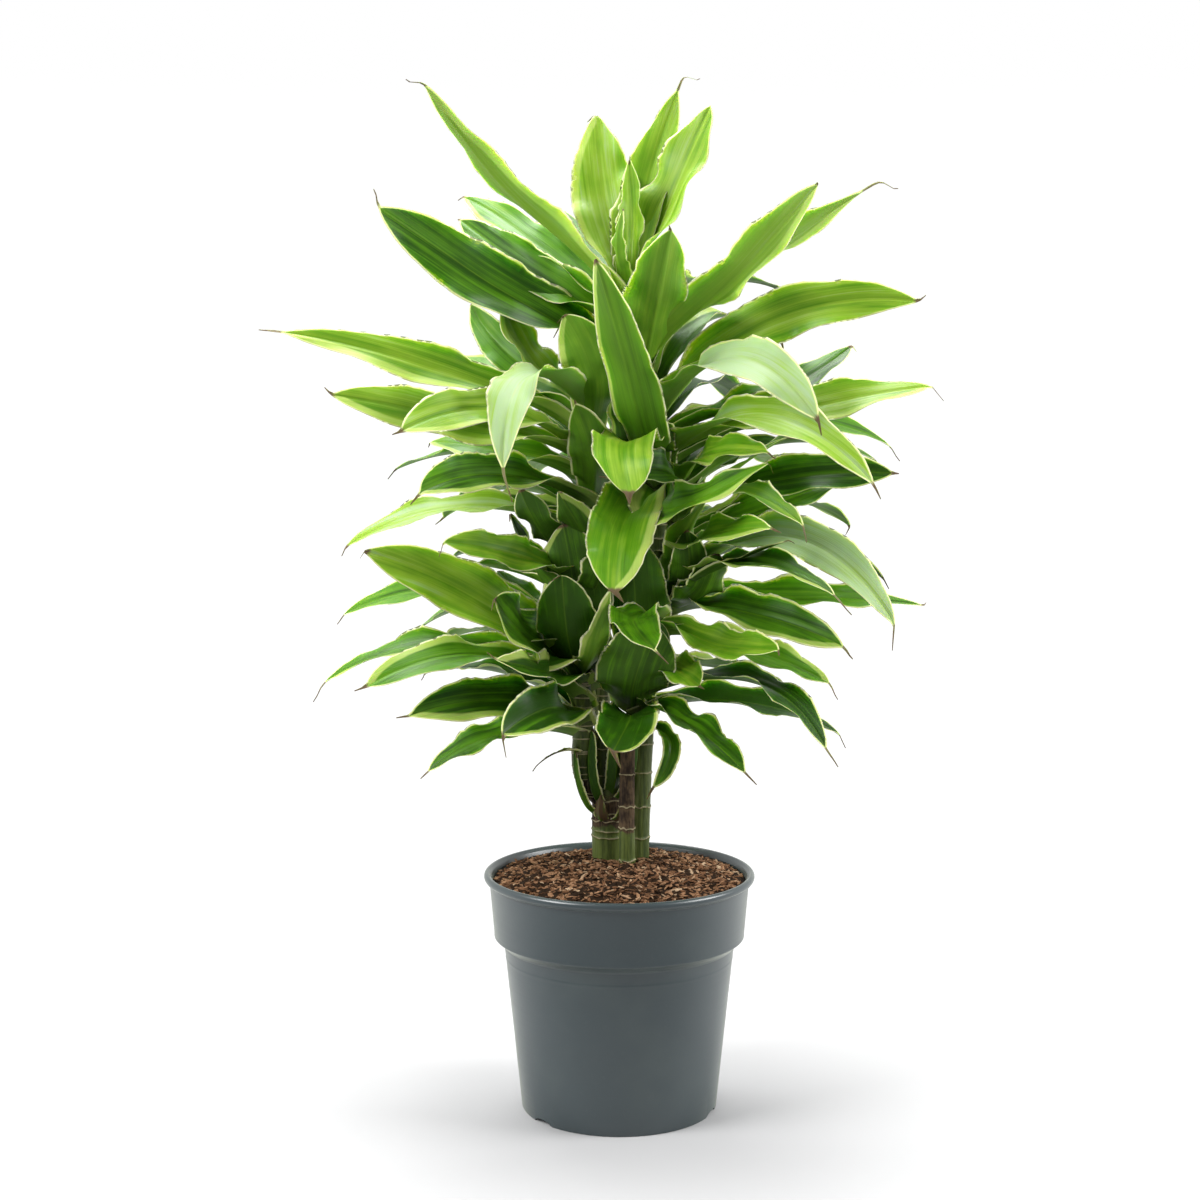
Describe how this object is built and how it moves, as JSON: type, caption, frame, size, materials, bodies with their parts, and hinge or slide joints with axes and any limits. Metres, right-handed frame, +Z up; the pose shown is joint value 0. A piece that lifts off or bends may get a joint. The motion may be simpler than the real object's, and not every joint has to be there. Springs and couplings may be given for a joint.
{
  "type": "potted dracaena",
  "caption": "Branched dracaena house plant with long arching leaves, dark green with thin cream margins, growing in a round tapered nursery pot.",
  "frame": {"origin": "middle of the pot's flat underside, on the surface that the pot stands on", "axes": "+Z up along the pot's axis, the plant's best side faces -Y, +X to the right as seen from there"},
  "size_m": [0.6073, 0.3912, 0.9464],
  "materials": {
    "pot_plastic": "slate grey moulded plastic with a satin sheen",
    "compost": "loose brown bark and fibre compost, matte",
    "brown_bark": "dry grey-brown stem with pale leaf scars, matte",
    "green_bark": "olive green stem with pale leaf scars, satin",
    "leaf": "waxy deep green leaf with fine parallel veins and a thin cream margin"
  },
  "bodies": {
    "root": {"pot": "pot_plastic", "soil": "compost", "cane_left": "brown_bark", "cane_middle": "brown_bark", "cane_right": "green_bark", "shoot_top": "leaf", "shoot_upper_left": "leaf", "shoot_left": "leaf", "shoot_right": "leaf", "shoot_low_right": "leaf"}
  },
  "joints": []
}
